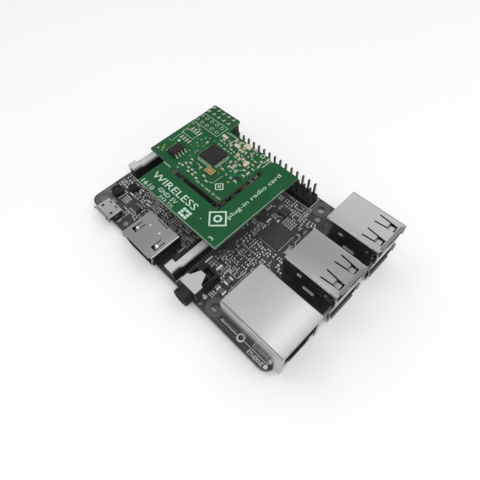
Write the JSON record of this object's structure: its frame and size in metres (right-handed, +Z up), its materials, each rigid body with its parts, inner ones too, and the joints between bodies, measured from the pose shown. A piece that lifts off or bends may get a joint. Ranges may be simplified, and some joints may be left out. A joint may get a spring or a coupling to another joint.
{
  "type": "single board computer",
  "caption": "Palm-size single board computer with USB, Ethernet, video, audio and flat-cable connectors, and a lift-off radio card on its pin header.",
  "frame": {"origin": "centre of the bounding box in X and Y, at the level of the tips of the soldered legs under the board", "axes": "+Z up from the board's component side, +X along the long side towards the USB and Ethernet sockets, +Y towards the pin header"},
  "size_m": [0.0876, 0.0586, 0.0198],
  "materials": {
    "main_mask": "dark grey solder mask over glass-fibre board",
    "card_mask": "green solder mask over glass-fibre board",
    "shell_metal": "satin nickel-plated sheet",
    "black_plastic": "matt moulded black",
    "white_plastic": "matt moulded natural white",
    "chip_epoxy": "fine-grained moulding compound",
    "ceramic": "sintered ceramic",
    "gold_lid": "gold-plated",
    "clear_lens": "clear moulded light pipe"
  },
  "bodies": {
    "computer": {"main_board": "main_mask", "processor": "chip_epoxy", "usb_ethernet_controller": "chip_epoxy", "power_management_chip": "chip_epoxy", "voltage_regulator": "chip_epoxy", "surge_diode": "chip_epoxy", "input_fuse": "black_plastic", "processor_crystal": "gold_lid", "ethernet_crystal": "shell_metal", "output_capacitor_1": "ceramic", "output_capacitor_2": "ceramic", "power_light": "clear_lens", "activity_light": "clear_lens", "memory_chip": "chip_epoxy", "power_inductor_1": "chip_epoxy", "power_inductor_2": "chip_epoxy", "gpio_header": "black_plastic", "ethernet_shell": "shell_metal", "ethernet_housing": "black_plastic", "ethernet_contacts": "gold_lid", "ethernet_light_1": "clear_lens", "ethernet_light_2": "clear_lens", "usb_shell_1": "shell_metal", "usb_back_cover_1": "shell_metal", "usb_back_cover_2": "shell_metal", "usb_divider_1": "shell_metal", "usb_divider_2": "shell_metal", "usb_insert_1": "black_plastic", "usb_shell_2": "shell_metal", "usb_insert_2": "black_plastic", "video_shell": "shell_metal", "video_tongue": "black_plastic", "power_shell": "shell_metal", "power_tongue": "black_plastic", "audio_body": "black_plastic", "audio_barrel": "black_plastic", "audio_plate": "shell_metal", "camera_connector": "black_plastic", "display_connector": "black_plastic", "memory_card_shell": "shell_metal", "memory_card_housing": "black_plastic"},
    "plug_in_card": {"card_board": "card_mask", "card_socket": "black_plastic", "card_memory_chip": "chip_epoxy", "card_radio_chip": "chip_epoxy", "card_crystal": "gold_lid", "card_filter": "ceramic", "card_capacitor_1": "ceramic", "card_capacitor_2": "ceramic", "card_capacitor_3": "ceramic"},
    "camera_clip": {"camera_latch": "white_plastic"},
    "display_clip": {"display_latch": "white_plastic"}
  },
  "joints": [
    {"name": "card_lift", "type": "slide", "parent": "computer", "child": "plug_in_card", "axis": [0, 0, 1], "range_m": [0, 0.0065]},
    {"name": "camera_latch_slide", "type": "slide", "parent": "computer", "child": "camera_clip", "axis": [0, 0, 1], "range_m": [0, 0.0012]},
    {"name": "display_latch_slide", "type": "slide", "parent": "computer", "child": "display_clip", "axis": [0, 0, 1], "range_m": [0, 0.0012]}
  ]
}
